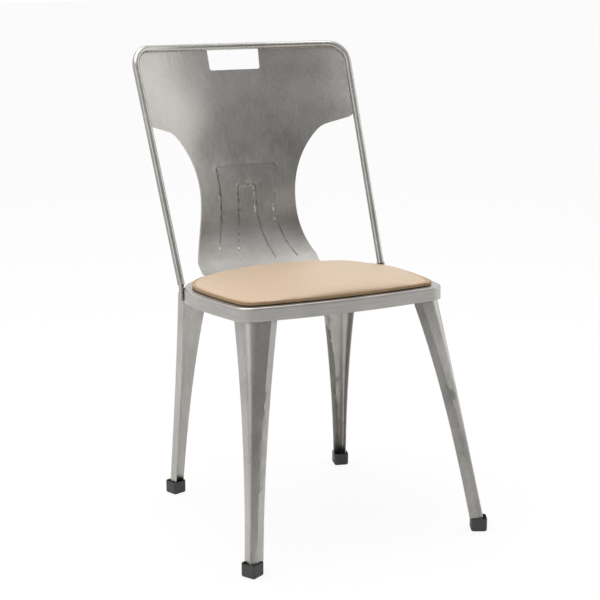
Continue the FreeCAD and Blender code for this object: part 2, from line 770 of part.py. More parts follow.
def arch_edges(half, top, crest, lower_radius, upper_radius, grow):
    """Right-hand edges of an arch-shaped field in front view, grown by a margin."""
    foot_z = size("arch_foot")
    low_hub = V(half + lower_radius, 0, crest)
    up_hub = V(half + upper_radius, 0, crest)
    low_radius = lower_radius - grow
    up_radius = upper_radius - grow
    low_angle = 180 + math.degrees(math.asin((crest - foot_z) / low_radius))
    up_angle = 180 - math.degrees(math.asin((top + grow - crest) / up_radius))
    lower, lower_start, lower_end = arc_through(low_hub, low_radius, low_angle, 180)
    upper, upper_start, upper_end = arc_through(up_hub, up_radius, 180, up_angle)
    return [line(V(0, 0, foot_z), lower_start), lower, upper, line(upper_end, V(0, 0, upper_end.z))]


def arch_prism(arch, grow):
    """Prism of one pressed arch, grown by a margin, with rounded top corners."""
    prism = elevation_prism(arch_edges(size(arch + "_half"), size(arch + "_top"), size(arch + "_crest"),
                                       size(arch + "_lower_radius"), size(arch + "_upper_radius"), grow))
    top = size(arch + "_top") + grow
    corners = [edge for edge in prism.Edges
               if edge.BoundBox.YLength > size("band_depth") - 1 and abs(edge.BoundBox.ZMax - top) < 0.5
               and abs(edge.BoundBox.XMax) > 1]
    return prism.makeFillet(size("arch_corner") + grow, corners)


def build_panel():
    """Pressed sheet: bowed in plan, swept forward at the foot, with a returned edge and two arches."""
    sheet = size("sheet")
    lip = size("panel_lip")
    outline = elevation_prism(panel_outline(0))
    outline_inner = elevation_prism(panel_outline(sheet))
    slab = panel_band(0, lip).common(outline)
    panel = slab.cut(panel_band(sheet, lip + sheet).common(outline_inner))
    depth = size("groove_depth")
    half = size("groove_width") / 2
    back_band = panel_band(sheet / 2, depth + sheet)
    front_band = panel_band(-sheet, depth)
    for arch in ("outer_arch", "inner_arch"):
        outside = arch_prism(arch, half)
        inside = arch_prism(arch, -half)
        outside_wall = arch_prism(arch, half + sheet)
        inside_wall = arch_prism(arch, -half - sheet)
        raised = back_band.common(outside_wall).cut(inside_wall)
        panel = panel.fuse(raised)
        panel = panel.cut(front_band.common(outside).cut(inside))
    notch_top = size("hoop_height")
    notch = Part.Face(Part.makePolygon([
        V(-size("notch_half_foot"), 0, size("notch_foot")), V(size("notch_half_foot"), 0, size("notch_foot")),
        V(size("notch_half_top"), 0, notch_top), V(-size("notch_half_top"), 0, notch_top),
        V(-size("notch_half_foot"), 0, size("notch_foot"))]))
    notch = notch.extrude(V(0, size("band_depth"), 0))
    low_corners = [edge for edge in notch.Edges
                   if edge.BoundBox.YLength > size("band_depth") - 1 and edge.BoundBox.ZMax < size("notch_foot") + 1]
    notch = notch.makeFillet(size("notch_corner"), low_corners)
    panel = panel.cut(notch)
    panel = panel.cut(hoop_solid(size("weld_gap")))
    return feature("back_panel", panel)


# Legs

def leg_size(leg, name, share):
    """A leg's size at a share of its height, on the curve through foot, middle and top."""
    foot = size("%s_%s_foot" % (leg, name))
    middle = size("%s_%s_middle" % (leg, name))
    top = size("%s_%s_top" % (leg, name))
    return foot * (1 - share) * (1 - 2 * share) + middle * 4 * share * (1 - share) + top * share * (2 * share - 1)


def inward(way):
    """Level direction square to a fold line, turned towards the inside of the right rear leg."""
    square = V(way.y, -way.x, 0)
    if square.x + square.y > 0:
        square = square * -1
    return square


def leg_corners(leg, share):
    """Corners of the folded sheet: free edge, ridge, crease and inner edge, and the ways between them."""
    ridge = V(leg_size(leg, "ridge_x", share), leg_size(leg, "ridge_y", share), 0)
    main_tilt = math.radians(leg_size(leg, "main_tilt", share))
    side_tilt = math.radians(leg_size(leg, "side_tilt", share))
    flange_tilt = math.radians(size("leg_flange_tilt"))
    side_way = V(math.sin(side_tilt), -math.cos(side_tilt), 0)
    main_way = V(-math.cos(main_tilt), math.sin(main_tilt), 0)
    flange_way = V(-math.cos(flange_tilt), -math.sin(flange_tilt), 0)
    free = ridge + side_way * leg_size(leg, "side", share)
    crease = ridge + main_way * leg_size(leg, "main", share)
    inner = crease + flange_way * size("leg_flange")
    return free, ridge, crease, inner, side_way, main_way, flange_way


def leg_section(leg, share, level):
    """Closed section of the folded sheet: side face, rounded ridge, main face, crease and flange."""
    free, ridge, crease, inner, side_way, main_way, flange_way = leg_corners(leg, share)
    radius = leg_size(leg, "ridge_radius", share)
    sheet = size("leg_sheet")
    start, middle, end = bend(free, ridge, crease, radius)
    angle = side_way.getAngle(main_way)
    hub = ridge + (side_way + main_way).normalize() * (radius / math.sin(angle / 2))

    def shrink(point):
        return hub + (point - hub) * ((radius - sheet) / radius)

    mitre = (inward(main_way) + inward(flange_way)).normalize()
    crease_in = crease + mitre * (sheet / mitre.dot(inward(main_way)))
    free_in = free + inward(side_way) * sheet
    inner_in = inner + inward(flange_way) * sheet
    wire = Part.Wire([
        line(free, start), Part.Arc(start, middle, end).toShape(), line(end, crease), line(crease, inner),
        line(inner, inner_in), line(inner_in, crease_in), line(crease_in, shrink(end)),
        Part.Arc(shrink(end), shrink(middle), shrink(start)).toShape(), line(shrink(start), free_in),
        line(free_in, free)])
    wire.translate(V(0, 0, level))
    return wire


def leg_tab(share):
    """Plate at the top of the right rear leg that turns in under the seat's skirt."""
    free, ridge, crease, inner, side_way, main_way, flange_way = leg_corners("rear", share)
    start, middle, end = bend(free, ridge, crease, leg_size("rear", "ridge_radius", share))
    shoulder = seat_centres()[3]
    reach = shoulder_radius() - size("tab_reach")
    under_inner = polar(shoulder, reach, bearing(shoulder, inner))
    under_free = polar(shoulder, reach, bearing(shoulder, free))
    wire = Part.Wire([
        line(free, start), Part.Arc(start, middle, end).toShape(), line(end, crease), line(crease, inner),
        line(inner, under_inner), line(under_inner, under_free), line(under_free, free)])
    return Part.Face(wire)


def foot_ring(leg):
    """Everything outside a right-hand foot's socket, over the foot's height."""
    socket = size("foot_width") / 2 - size("foot_wall") - size("weld_gap")
    outside = 2 * size("foot_width")
    height = size("foot_height") + size("weld_gap")
    ring = Part.makeBox(2 * outside, 2 * outside, height, V(-outside, -outside, 0))
    ring = ring.cut(Part.makeBox(2 * socket, 2 * socket, height, V(-socket, -socket, 0)))
    way = 1 if leg == "rear" else -1
    ring.rotate(V(0, 0, 0), V(0, 0, 1), -way * size(leg + "_foot_turn"))
    ring.translate(V(size(leg + "_foot_x"), size(leg + "_foot_y"), 0))
    return ring


def right_leg(leg):
    """Right-hand leg, tapering from under the seat to its rubber foot."""
    floor = size("foot_floor")
    skirt_foot = size("seat_height") - size("skirt_depth")
    top = skirt_foot
    if leg == "front":
        top = size("seat_height")
    count = int(size("leg_sections"))
    sections = []
    for index in range(count):
        level = floor + (top - floor) * index / (count - 1)
        sections.append(leg_section(leg, (level - floor) / (skirt_foot - floor), level))
    solid = Part.makeLoft(sections, True, False).cut(foot_ring(leg))
    above = seat_face(-size("band_depth"), skirt_foot).extrude(V(0, 0, 2 * size("skirt_depth")))
    if leg == "front":
        inside = seat_face(size("sheet") + size("weld_gap"), skirt_foot)
        above = above.cut(inside.extrude(V(0, 0, size("skirt_depth") - size("sheet"))))
        above = above.mirror(V(0, 0, 0), V(0, 1, 0))
        lean = size("seat_tilt")
        above.rotate(V(0, size("pan_front"), size("seat_height")), V(1, 0, 0), lean)
        return solid.cut(above).mirror(V(0, 0, 0), V(0, 1, 0))
    tab = leg_tab(1.0)
    tab.translate(V(0, 0, skirt_foot - size("band_depth") / 10))
    tab = tab.extrude(V(0, 0, size("band_depth") / 5))
    slab = seat_face(-size("band_depth"), skirt_foot - size("leg_sheet")).extrude(V(0, 0, size("leg_sheet")))
    return solid.cut(tilt_seat(above)).fuse(tab.common(tilt_seat(slab))).removeSplitter()


def build_legs():
    """Four folded legs, the left-hand ones mirrored from the right."""
    legs = []
    for leg in ("front", "rear"):
        right = right_leg(leg)
        legs.append(feature("leg_%s_right" % leg, right))
        legs.append(feature("leg_%s_left" % leg, right.mirror(V(0, 0, 0), V(1, 0, 0))))
    return legs


# Feet

def square_sketch(body, name, level, width):
    """Square centred on the body's origin, its width given as an expression."""
    sketch = level_sketch(body, name, level)
    half = size("foot_width") / 2
    corners = [V(-half, -half, 0), V(half, -half, 0), V(half, half, 0), V(-half, half, 0)]
    for index in range(4):
        sketch.addGeometry(Part.LineSegment(corners[index], corners[(index + 1) % 4]), False)
    for index in range(4):
        sketch.addConstraint(Sketcher.Constraint("Coincident", index, 2, (index + 1) % 4, 1))
        sketch.addConstraint(Sketcher.Constraint("Horizontal" if index % 2 == 0 else "Vertical", index))
    sketch.addConstraint(Sketcher.Constraint("Symmetric", 0, 1, 1, 2, -1, 1))
    bind(sketch, Sketcher.Constraint("DistanceX", 0, 1, 0, 2, 2 * half), "width", width)
    bind(sketch, Sketcher.Constraint("DistanceY", 1, 1, 1, 2, 2 * half), "breadth", width)
    return sketch


def build_foot(leg, hand, side):
    """Rubber cap over the end of a leg."""
    body = new_body("foot_%s_%s" % (leg, hand))
    outline = square_sketch(body, "Outline", "0 * Sizes.foot_width", "Sizes.foot_width")
    block = pad_up(body, "Block", outline, "Sizes.foot_height")
    doc.recompute()
    rounded = round_edges(body, "Corners", block, upright_edges(block.Shape, size("foot_height")),
                          "Sizes.foot_corner")
    doc.recompute()
    sole = round_edges(body, "SoleEdge", rounded, edges_at(rounded.Shape, 0), "Sizes.foot_edge")
    doc.recompute()
    mouth = square_sketch(body, "Mouth", "Sizes.foot_height", "Sizes.foot_width - 2 * Sizes.foot_wall")
    socket = body.newObject("PartDesign::Pocket", "Socket")
    socket.Profile = mouth
    socket.setExpression("Length", "Sizes.foot_height - Sizes.foot_floor")
    way = 1 if leg == "rear" else -1
    turn = size(leg + "_foot_turn") * side
    body.Placement = FreeCAD.Placement(V(side * size(leg + "_foot_x"), way * size(leg + "_foot_y"), 0),
                                       FreeCAD.Rotation(V(0, 0, 1), -turn))
    body.setExpression("Placement.Base.x", "%d * Sizes.%s_foot_x" % (side, leg))
    body.setExpression("Placement.Base.y", "%d * Sizes.%s_foot_y + Sizes.centring" % (way, leg))
    return body


def add_cell(alias, value):
    """Adds a worked-out size below the driving ones."""
    row = 1
    while sizes.getContents("A%d" % row):
        row += 1
    sizes.set("A%d" % row, alias)
    sizes.set("B%d" % row, value)
    sizes.setAlias("B%d" % row, alias)


def centre_on_box():
    """Works out the shift along Y that centres the chair's box on the origin."""
    path, bar_middle = hoop_path()
    rear = bar_middle.y + size("tube_diameter") / 2
    turn = math.radians(size("front_foot_turn"))
    straight = size("foot_width") / 2 - size("foot_corner")
    front = -size("front_foot_y") - straight * (math.cos(turn) + math.sin(turn)) - size("foot_corner")
    add_cell("centring", str(-(front + rear) / 2))
    add_cell("tilt_back", "=-pan_front + pan_front * cos(seat_tilt) - seat_height * sin(seat_tilt)")
    add_cell("tilt_up", "=seat_height - pan_front * sin(seat_tilt) - seat_height * cos(seat_tilt)")
    doc.recompute()


def lean_back(piece):
    """Leans a seat piece back about the pan's front top edge and centres it."""
    piece.Placement = FreeCAD.Placement(V(0, 0, 0), FreeCAD.Rotation(V(-1, 0, 0), size("seat_tilt")))
    piece.setExpression("Placement.Rotation.Angle", "Sizes.seat_tilt")
    piece.setExpression("Placement.Base.y", "Sizes.centring + Sizes.tilt_back")
    piece.setExpression("Placement.Base.z", "Sizes.tilt_up")


def build_all():
    """Builds every piece and returns them in one list."""
    centre_on_box()
    seat = [build_seat_pan(), build_pad_board(), build_pad_foam(), build_pad_cover()] + build_screws()
    for piece in seat:
        lean_back(piece)
    frame = [build_hoop(), build_panel()] + build_legs()
    for piece in frame:
        piece.setExpression("Placement.Base.y", "Sizes.centring")
    feet = [build_foot(leg, hand, side) for leg in ("front", "rear") for hand, side in (("left", -1), ("right", 1))]
    return seat + frame + feet


def check_document():
    """Stops if any object of the document has failed."""
    for item in doc.Objects:
        if "Invalid" in item.State or "Error" in item.State:
            raise RuntimeError("%s failed: %s" % (item.Name, item.State))


def export(pieces):
    """Checks each piece and writes it to its own file."""
    for piece in pieces:
        shape = piece.Shape
        if shape.isNull() or not shape.isValid():
            raise RuntimeError(piece.Label + " has no valid shape")
        shape.exportStep("parts/%s.step" % piece.Label)
        box = shape.BoundBox
        print("%-18s solids %d volume %9.0f  x %7.1f %7.1f  y %7.1f %7.1f  z %6.1f %6.1f" % (
            piece.Label, len(shape.Solids), shape.Volume, box.XMin, box.XMax, box.YMin, box.YMax, box.ZMin, box.ZMax))


chair = build_all()
doc.recompute()
check_document()
export(chair)
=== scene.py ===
"""Metal bistro chair: finishes, seat pad, floor, light and camera over the shared frame."""

import json
import logging
import math
from dataclasses import dataclass, field
from enum import Enum

import bpy
from mathutils import Matrix, Vector

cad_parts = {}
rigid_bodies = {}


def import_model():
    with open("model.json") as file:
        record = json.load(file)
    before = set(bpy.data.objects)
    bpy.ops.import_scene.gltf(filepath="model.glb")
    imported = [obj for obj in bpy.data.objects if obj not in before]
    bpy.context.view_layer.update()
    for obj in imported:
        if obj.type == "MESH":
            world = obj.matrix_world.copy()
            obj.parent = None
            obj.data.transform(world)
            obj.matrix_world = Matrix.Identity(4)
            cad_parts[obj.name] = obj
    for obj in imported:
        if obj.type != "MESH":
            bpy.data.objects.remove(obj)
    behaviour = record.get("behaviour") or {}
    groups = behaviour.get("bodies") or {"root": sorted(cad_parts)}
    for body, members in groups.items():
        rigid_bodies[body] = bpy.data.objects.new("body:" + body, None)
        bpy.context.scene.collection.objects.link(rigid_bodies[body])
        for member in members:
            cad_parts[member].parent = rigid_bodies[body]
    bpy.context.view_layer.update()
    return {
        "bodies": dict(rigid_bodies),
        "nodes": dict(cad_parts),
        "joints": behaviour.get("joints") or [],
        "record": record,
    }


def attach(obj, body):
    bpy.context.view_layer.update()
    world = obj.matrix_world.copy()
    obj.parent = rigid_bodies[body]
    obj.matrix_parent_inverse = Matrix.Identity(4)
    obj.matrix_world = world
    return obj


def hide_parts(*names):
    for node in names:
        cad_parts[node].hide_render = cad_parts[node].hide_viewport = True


log = logging.getLogger("bistro_chair")

Colour = tuple[float, float, float, float]

# lean of the seat and the middle of its front top edge, in metres
SEAT_TILT = math.radians(1.8)
SEAT_FRONT_Y = -0.1981
SEAT_FRONT_Z = 0.4375

# points nearer than this are one point of a merged mesh, in metres
MERGE_DISTANCE = 0.00001

# numbers of the brushed grain that every steel shares
STREAK_DETAIL = 5.0
STREAK_ROUGHNESS = 0.65
CLOUD_DETAIL = 3.0
CLOUD_SHARE = 0.45
TONE_LOW = 0.35
TONE_HIGH = 0.65

# numbers of the noise and the bump on vinyl, rubber, zinc and plywood
FINE_DETAIL = 4.0
FINE_BUMP_DEPTH = 0.0002


class Grain(Enum):
    """Way in which a sheet was brushed, as the stretch of its grain along X, Y and Z."""

    UPRIGHT = (420.0, 420.0, 16.0)
    LEVEL = (16.0, 16.0, 420.0)
    ROUND_THE_TUBE = (180.0, 180.0, 60.0)


class Slot(Enum):
    """Material slots of the record."""

    STEEL = "steel"
    RUBBER = "rubber"
    VINYL = "vinyl"


@dataclass(frozen=True)
class SteelFinish:
    """Brushed steel under a clear coat."""

    name: str
    grain: Grain
    dark: Colour = (0.36, 0.345, 0.325, 1.0)
    light: Colour = (0.50, 0.485, 0.46, 1.0)
    smooth: float = 0.30
    rough: float = 0.40
    coat: float = 0.25
    coat_roughness: float = 0.22
    cloud_scale: float = 14.0
    bump: float = 0.35
    depth: float = 0.00005


@dataclass(frozen=True)
class VinylFinish:
    """Matt beige upholstery vinyl with a fine pressed grain."""

    name: str = "beige_vinyl"
    base: Colour = (0.500, 0.372, 0.258, 1.0)
    worn: Colour = (0.550, 0.417, 0.296, 1.0)
    pebble_scale: float = 1100.0
    wear_scale: float = 9.0
    roughness: float = 0.48
    bump: float = 0.18


@dataclass(frozen=True)
class PlainFinish:
    """Small-part finish: a base colour broken up by fine noise."""

    name: str
    dark: Colour
    light: Colour
    metallic: float
    roughness: float
    scale: float
    bump: float


RUBBER = PlainFinish(
    name="foot_rubber",
    dark=(0.035, 0.035, 0.037, 1),
    light=(0.055, 0.055, 0.057, 1),
    metallic=0.0,
    roughness=0.55,
    scale=500.0,
    bump=0.25,
)
ZINC = PlainFinish(
    name="zinc_plate",
    dark=(0.50, 0.51, 0.52, 1),
    light=(0.64, 0.65, 0.66, 1),
    metallic=1.0,
    roughness=0.32,
    scale=300.0,
    bump=0.05,
)
PLYWOOD = PlainFinish(
    name="board_plywood",
    dark=(0.30, 0.19, 0.10, 1),
    light=(0.46, 0.32, 0.19, 1),
    metallic=0.0,
    roughness=0.70,
    scale=90.0,
    bump=0.20,
)


def add_node(tree: bpy.types.NodeTree, kind: str, **values: object) -> bpy.types.Node:
    """Adds a shader node and sets its properties.

    Args:
        tree: Node tree that gets the node.
        kind: Type name of the node.
        values: Properties of the node by name.

    Returns:
        The new node.
    """
    node = tree.nodes.new(kind)
    for name, value in values.items():
        setattr(node, name, value)
    return node


def set_inputs(node: bpy.types.Node, values: dict[str, object]) -> None:
    """Sets the constants on a node's sockets.

    Args:
        node: Node whose sockets are set.
        values: Constants by the name of their socket.
    """
    for name, value in values.items():
        node.inputs[name].default_value = value


def grain_group() -> bpy.types.NodeTree:
    """Builds the brushed grain once, as a node group.

    Returns:
        A group with a vector and a cloud size in, and a tone and a height out.
    """
    found = bpy.data.node_groups.get("BrushedGrain")
    if found:
        return found
    group = bpy.data.node_groups.new("BrushedGrain", "ShaderNodeTree")
    for name in ("Stretched", "Place"):
        group.interface.new_socket(name, in_out="INPUT", socket_type="NodeSocketVector")
    group.interface.new_socket("Cloud Scale", in_out="INPUT", socket_type="NodeSocketFloat")
    for name in ("Tone", "Height"):
        group.interface.new_socket(name, in_out="OUTPUT", socket_type="NodeSocketFloat")
    inputs = add_node(group, "NodeGroupInput")
    outputs = add_node(group, "NodeGroupOutput")
    streaks = add_node(group, "ShaderNodeTexNoise")
    set_inputs(streaks, {"Scale": 1.0, "Detail": STREAK_DETAIL, "Roughness": STREAK_ROUGHNESS})
    clouds = add_node(group, "ShaderNodeTexNoise")
    set_inputs(clouds, {"Detail": CLOUD_DETAIL})
    blend = add_node(group, "ShaderNodeMix", data_type="FLOAT")
    set_inputs(blend, {"Factor": CLOUD_SHARE})
    links = group.links
    links.new(inputs.outputs["Stretched"], streaks.inputs["Vector"])
    links.new(inputs.outputs["Place"], clouds.inputs["Vector"])
    links.new(inputs.outputs["Cloud Scale"], clouds.inputs["Scale"])
    links.new(streaks.outputs["Fac"], blend.inputs["A"])
    links.new(clouds.outputs["Fac"], blend.inputs["B"])
    links.new(blend.outputs["Result"], outputs.inputs["Tone"])
    links.new(streaks.outputs["Fac"], outputs.inputs["Height"])
    return group


def new_material(name: str) -> tuple[bpy.types.Material, bpy.types.Node]:
    """Makes an empty node material.

    Args:
        name: Name of the material.

    Returns:
        The material and its Principled shader node.
    """
    material = bpy.data.materials.new(name)
    material.use_nodes = True
    return material, material.node_tree.nodes["Principled BSDF"]


def mix_colours(
    tree: bpy.types.NodeTree, factor: bpy.types.NodeSocket, dark: Colour, light: Colour, target: bpy.types.NodeSocket
) -> None:
    """Feeds a colour that runs from dark to light with a factor.

    Args:
        tree: Node tree of the material.
        factor: Socket that gives the factor.
        dark: Colour at factor 0.
        light: Colour at factor 1.
        target: Colour socket that is fed.
    """
    mix = add_node(tree, "ShaderNodeMix", data_type="RGBA")
    mix.inputs["A"].default_value = dark
    mix.inputs["B"].default_value = light
    tree.links.new(factor, mix.inputs["Factor"])
    tree.links.new(mix.outputs["Result"], target)


def raise_grain(
    tree: bpy.types.NodeTree, height: bpy.types.NodeSocket, strength: float, depth: float, shader: bpy.types.Node
) -> None:
    """Lets a height bend the shader's normal.

    Args:
        tree: Node tree of the material.
        height: Socket that gives the height.
        strength: Share of the bump that shows.
        depth: Full depth of the bump in metres.
        shader: Shader whose normal is bent.
    """
    bump = add_node(tree, "ShaderNodeBump")
    set_inputs(bump, {"Strength": strength, "Distance": depth})
    tree.links.new(height, bump.inputs["Height"])
    tree.links.new(bump.outputs["Normal"], shader.inputs["Normal"])


def steel_material(finish: SteelFinish) -> bpy.types.Material:
    """Makes brushed steel from its finish.

    Args:
        finish: Colours, grain and gloss of the steel.

    Returns:
        The material.
    """
    material, shader = new_material(finish.name)
    tree = material.node_tree
    place = add_node(tree, "ShaderNodeTexCoord")
    stretch = add_node(tree, "ShaderNodeMapping")
    set_inputs(stretch, {"Scale": finish.grain.value})
    grain = add_node(tree, "ShaderNodeGroup", node_tree=grain_group())
    set_inputs(grain, {"Cloud Scale": finish.cloud_scale})
    spread = add_node(tree, "ShaderNodeMapRange")
    set_inputs(spread, {"From Min": TONE_LOW, "From Max": TONE_HIGH})
    gloss = add_node(tree, "ShaderNodeMapRange")
    set_inputs(gloss, {"From Min": TONE_LOW, "From Max": TONE_HIGH, "To Min": finish.smooth, "To Max": finish.rough})
    links = tree.links
    links.new(place.outputs["Object"], stretch.inputs["Vector"])
    links.new(stretch.outputs["Vector"], grain.inputs["Stretched"])
    links.new(place.outputs["Object"], grain.inputs["Place"])
    links.new(grain.outputs["Tone"], spread.inputs["Value"])
    links.new(grain.outputs["Tone"], gloss.inputs["Value"])
    links.new(gloss.outputs["Result"], shader.inputs["Roughness"])
    raise_grain(tree, grain.outputs["Height"], finish.bump, finish.depth, shader)
    mix_colours(tree, spread.outputs["Result"], finish.dark, finish.light, shader.inputs["Base Color"])
    set_inputs(shader, {"Metallic": 1.0, "Coat Weight": finish.coat, "Coat Roughness": finish.coat_roughness})
    return material


def vinyl_material(finish: VinylFinish) -> bpy.types.Material:
    """Makes the pad's vinyl from its finish.

    Args:
        finish: Colours and grain of the vinyl.

    Returns:
        The material.
    """
    material, shader = new_material(finish.name)
    tree = material.node_tree
    place = add_node(tree, "ShaderNodeTexCoord")
    pebbles = add_node(tree, "ShaderNodeTexVoronoi")
    set_inputs(pebbles, {"Scale": finish.pebble_scale})
    rub = add_node(tree, "ShaderNodeTexNoise")
    set_inputs(rub, {"Scale": finish.wear_scale, "Detail": FINE_DETAIL})
    tree.links.new(place.outputs["Object"], pebbles.inputs["Vector"])
    tree.links.new(place.outputs["Object"], rub.inputs["Vector"])
    raise_grain(tree, pebbles.outputs["Distance"], finish.bump, FINE_BUMP_DEPTH, shader)
    mix_colours(tree, rub.outputs["Fac"], finish.base, finish.worn, shader.inputs["Base Color"])
    set_inputs(shader, {"Roughness": finish.roughness})
    return material


def plain_material(finish: PlainFinish) -> bpy.types.Material:
    """Makes a small-part material from its finish.

    Args:
        finish: Colours, gloss and grain of the part.

    Returns:
        The material.
    """
    material, shader = new_material(finish.name)
    tree = material.node_tree
    place = add_node(tree, "ShaderNodeTexCoord")
    noise = add_node(tree, "ShaderNodeTexNoise")
    set_inputs(noise, {"Scale": finish.scale, "Detail": FINE_DETAIL})
    tree.links.new(place.outputs["Object"], noise.inputs["Vector"])
    raise_grain(tree, noise.outputs["Fac"], finish.bump, FINE_BUMP_DEPTH, shader)
    mix_colours(tree, noise.outputs["Fac"], finish.dark, finish.light, shader.inputs["Base Color"])
    set_inputs(shader, {"Metallic": finish.metallic, "Roughness": finish.roughness})
    return material


def take_up(piece: bpy.types.Object) -> None:
    """Makes one piece the only selected and the active object.

    Args:
        piece: The piece that the next operators act on.
    """
    bpy.ops.object.select_all(action="DESELECT")
    piece.select_set(True)
    bpy.context.view_layer.objects.active = piece


def dress(piece: bpy.types.Object, material: bpy.types.Material) -> None:
    """Gives a piece one material all over.

    Args:
        piece: The piece that is dressed.
        material: Its material.
    """
    piece.data.materials.clear()
    piece.data.materials.append(material)


def merged_copy(node: bpy.types.Object, name: str) -> bpy.types.Object:
    """Copies a node's mesh and merges its loose triangles.

    Args:
        node: The node that is copied.
        name: Name of the new piece.

    Returns:
        The new piece, its place in its mesh.
    """
    mesh = node.data.copy()
    mesh.transform(node.matrix_world)
    piece = bpy.data.objects.new(name, mesh)
    bpy.context.scene.collection.objects.link(piece)
    take_up(piece)
    bpy.ops.object.mode_set(mode="EDIT")
    bpy.ops.mesh.select_all(action="SELECT")
    bpy.ops.mesh.remove_doubles(threshold=MERGE_DISTANCE)
    bpy.ops.object.mode_set(mode="OBJECT")
    return piece


def weigh_normals(piece: bpy.types.Object) -> None:
    """Lets the large faces of a piece set its shading, and the slivers at its edges follow.

    Args:
        piece: The active piece.
    """
    weigh = piece.modifiers.new("Weigh", "WEIGHTED_NORMAL")
    weigh.mode = "FACE_AREA_WITH_ANGLE"
    weigh.weight = 100
    weigh.keep_sharp = True
    bpy.ops.object.modifier_apply(modifier="Weigh")


def smooth_stand_in(
    node: bpy.types.Object, angle: float, material: bpy.types.Material
) -> bpy.types.Object:
    """Stands a smoothly shaded copy in a node's place.

    Args:
        node: The node that is hidden.
        angle: Edges sharper than this stay sharp, in radians.
        material: Finish of the copy.

    Returns:
        The smooth piece.
    """
    piece = merged_copy(node, node.name + "_smooth")
    bpy.ops.object.shade_smooth_by_angle(angle=angle)
    weigh_normals(piece)
    dress(piece, material)
    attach(piece, "root")
    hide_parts(node.name)
    return piece


@dataclass
class SteelFrame:
    """Pan, hoop, back panel and legs, welded into one frame."""

    frame: dict
    smooth_angle: float = math.radians(22)
    leg_places: tuple[str, ...] = ("front_right", "front_left", "rear_right", "rear_left")

    def build(self) -> list[bpy.types.Object]:
        """Builds and dresses every steel piece.

        Returns:
            The pieces in order.
        """
        finishes = {
            "seat_pan": steel_material(SteelFinish("pan_steel", Grain.LEVEL)),
            "back_panel": steel_material(SteelFinish("panel_steel", Grain.UPRIGHT)),
        }
        leg = steel_material(SteelFinish("leg_steel", Grain.UPRIGHT))
        tube = SteelFinish("tube_steel", Grain.ROUND_THE_TUBE, smooth=0.24, rough=0.32)
        finishes["back_hoop"] = steel_material(tube)
        for place in self.leg_places:
            finishes["leg_" + place] = leg
        nodes = self.frame["nodes"]
        return [
            smooth_stand_in(nodes[name], self.smooth_angle, finish) for name, finish in finishes.items()
        ]


@dataclass
class SeatPad:
    """Foam pad in its vinyl cover, filled out by a cloth simulation.

    The cover starts slack: a little narrow, and lower than the solid by the ratio of the two crowns. The
    pressure then lifts it by up to the cap.
    """

    frame: dict
    voxel: float = 0.005
    slack: float = 0.985
    slack_crown: float = 0.018
    solid_crown: float = 0.0225
    pressure: float = 4.0
    last_frame: int = 20
    cap: float = 0.004
    held_height: float = 0.004
    soften_steps: int = 6
    tightness: float = 0.8

    def height(self, point: Vector) -> float:
        """Measures a point above the leaning seat pan.

        Args:
            point: Any point of the pad.

        Returns:
            Its height above the pan in metres.
        """
        return point.z - SEAT_FRONT_Z + math.tan(SEAT_TILT) * (point.y - SEAT_FRONT_Y)

    def block(self) -> bpy.types.Object:
        """Makes the closed outer form of the cover, a little slack.

        Returns:
            The remeshed form.
        """
        pad = merged_copy(self.frame["nodes"]["pad_cover"], "seat_pad")
        bpy.ops.object.mode_set(mode="EDIT")
        bpy.ops.mesh.select_all(action="SELECT")
        bpy.ops.mesh.convex_hull()
        bpy.ops.mesh.normals_make_consistent(inside=False)
        bpy.ops.object.mode_set(mode="OBJECT")
        middle = sum((Vector(corner) for corner in pad.bound_box), Vector()) / len(pad.bound_box)
        shrink = Matrix.Translation(middle) @ Matrix.Diagonal((self.slack, self.slack, 1.0, 1.0))
        pad.data.transform(shrink @ Matrix.Translation(-middle))
        share = self.slack_crown / self.solid_crown
        for vertex in pad.data.vertices:
            height = self.height(vertex.co)
            vertex.co.z -= height * (1.0 - share)
        remesh = pad.modifiers.new("Even", "REMESH")
        remesh.mode = "VOXEL"
        remesh.voxel_size = self.voxel
        bpy.ops.object.modifier_apply(modifier="Even")
        return pad

    def fill(self, pad: bpy.types.Object) -> None:
        """Blows the cover up against its held foot, and caps how far it moves.

        Args:
            pad: The slack form.
        """
        rest = [vertex.co.copy() for vertex in pad.data.vertices]
        held = pad.vertex_groups.new(name="held")
        held.add([i for i, point in enumerate(rest) if self.height(point) < self.held_height], 1.0, "REPLACE")
        cloth = pad.modifiers.new("Fill", "CLOTH")
        cloth.settings.use_pressure = True
        cloth.settings.uniform_pressure_force = self.pressure
        cloth.settings.effector_weights.gravity = 0.0
        cloth.settings.vertex_group_mass = "held"
        cloth.point_cache.frame_end = self.last_frame
        scene = bpy.context.scene
        for number in range(1, self.last_frame + 1):
            scene.frame_set(number)
        bpy.ops.object.modifier_apply(modifier="Fill")
        scene.frame_set(1)
        for vertex, start in zip(pad.data.vertices, rest):
            step = vertex.co - start
            if step.length > self.cap:
                vertex.co = start + step.normalized() * self.cap

    def build(self) -> bpy.types.Object:
        """Builds the pad and dresses it.

        Returns:
            The finished pad.
        """
        pad = self.block()
        self.fill(pad)
        take_up(pad)
        soften = pad.modifiers.new("Soften", "SMOOTH")
        soften.iterations = self.soften_steps
        bpy.ops.object.modifier_apply(modifier="Soften")
        subdivide = pad.modifiers.new("Fine", "SUBSURF")
        subdivide.levels = 1
        subdivide.render_levels = 1
        bpy.ops.object.modifier_apply(modifier="Fine")
        bpy.ops.object.shade_smooth()
        dress(pad, vinyl_material(VinylFinish()))
        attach(pad, "root")
        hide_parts("pad_cover", "pad_foam")
        return pad


